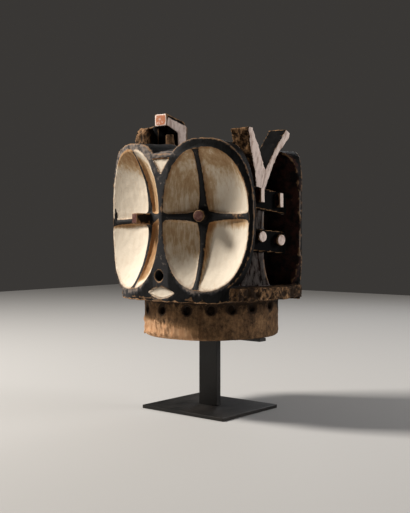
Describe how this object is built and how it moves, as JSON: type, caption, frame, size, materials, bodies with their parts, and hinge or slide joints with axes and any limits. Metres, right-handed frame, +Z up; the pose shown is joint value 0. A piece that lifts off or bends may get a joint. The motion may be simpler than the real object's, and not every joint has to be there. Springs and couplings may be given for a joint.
{
  "type": "bembe helmet mask",
  "caption": "Carved wooden helmet mask with sunk white oval eyes crossed by black ribs, side niches and crests, on a flat steel stand.",
  "frame": {"origin": "centre of the stand plate's underside, where the piece stands on the table", "axes": "+Z up, -Y toward the front face of the mask, +X toward the side with the forked crest"},
  "size_m": [0.35, 0.294, 0.581],
  "materials": {
    "painted_wood": "matt, painted black and white, worn",
    "dark_steel": "satin, blackened"
  },
  "bodies": {
    "root": {"mask": "painted_wood", "stand_base_plate": "dark_steel", "stand_post": "dark_steel"}
  },
  "joints": []
}
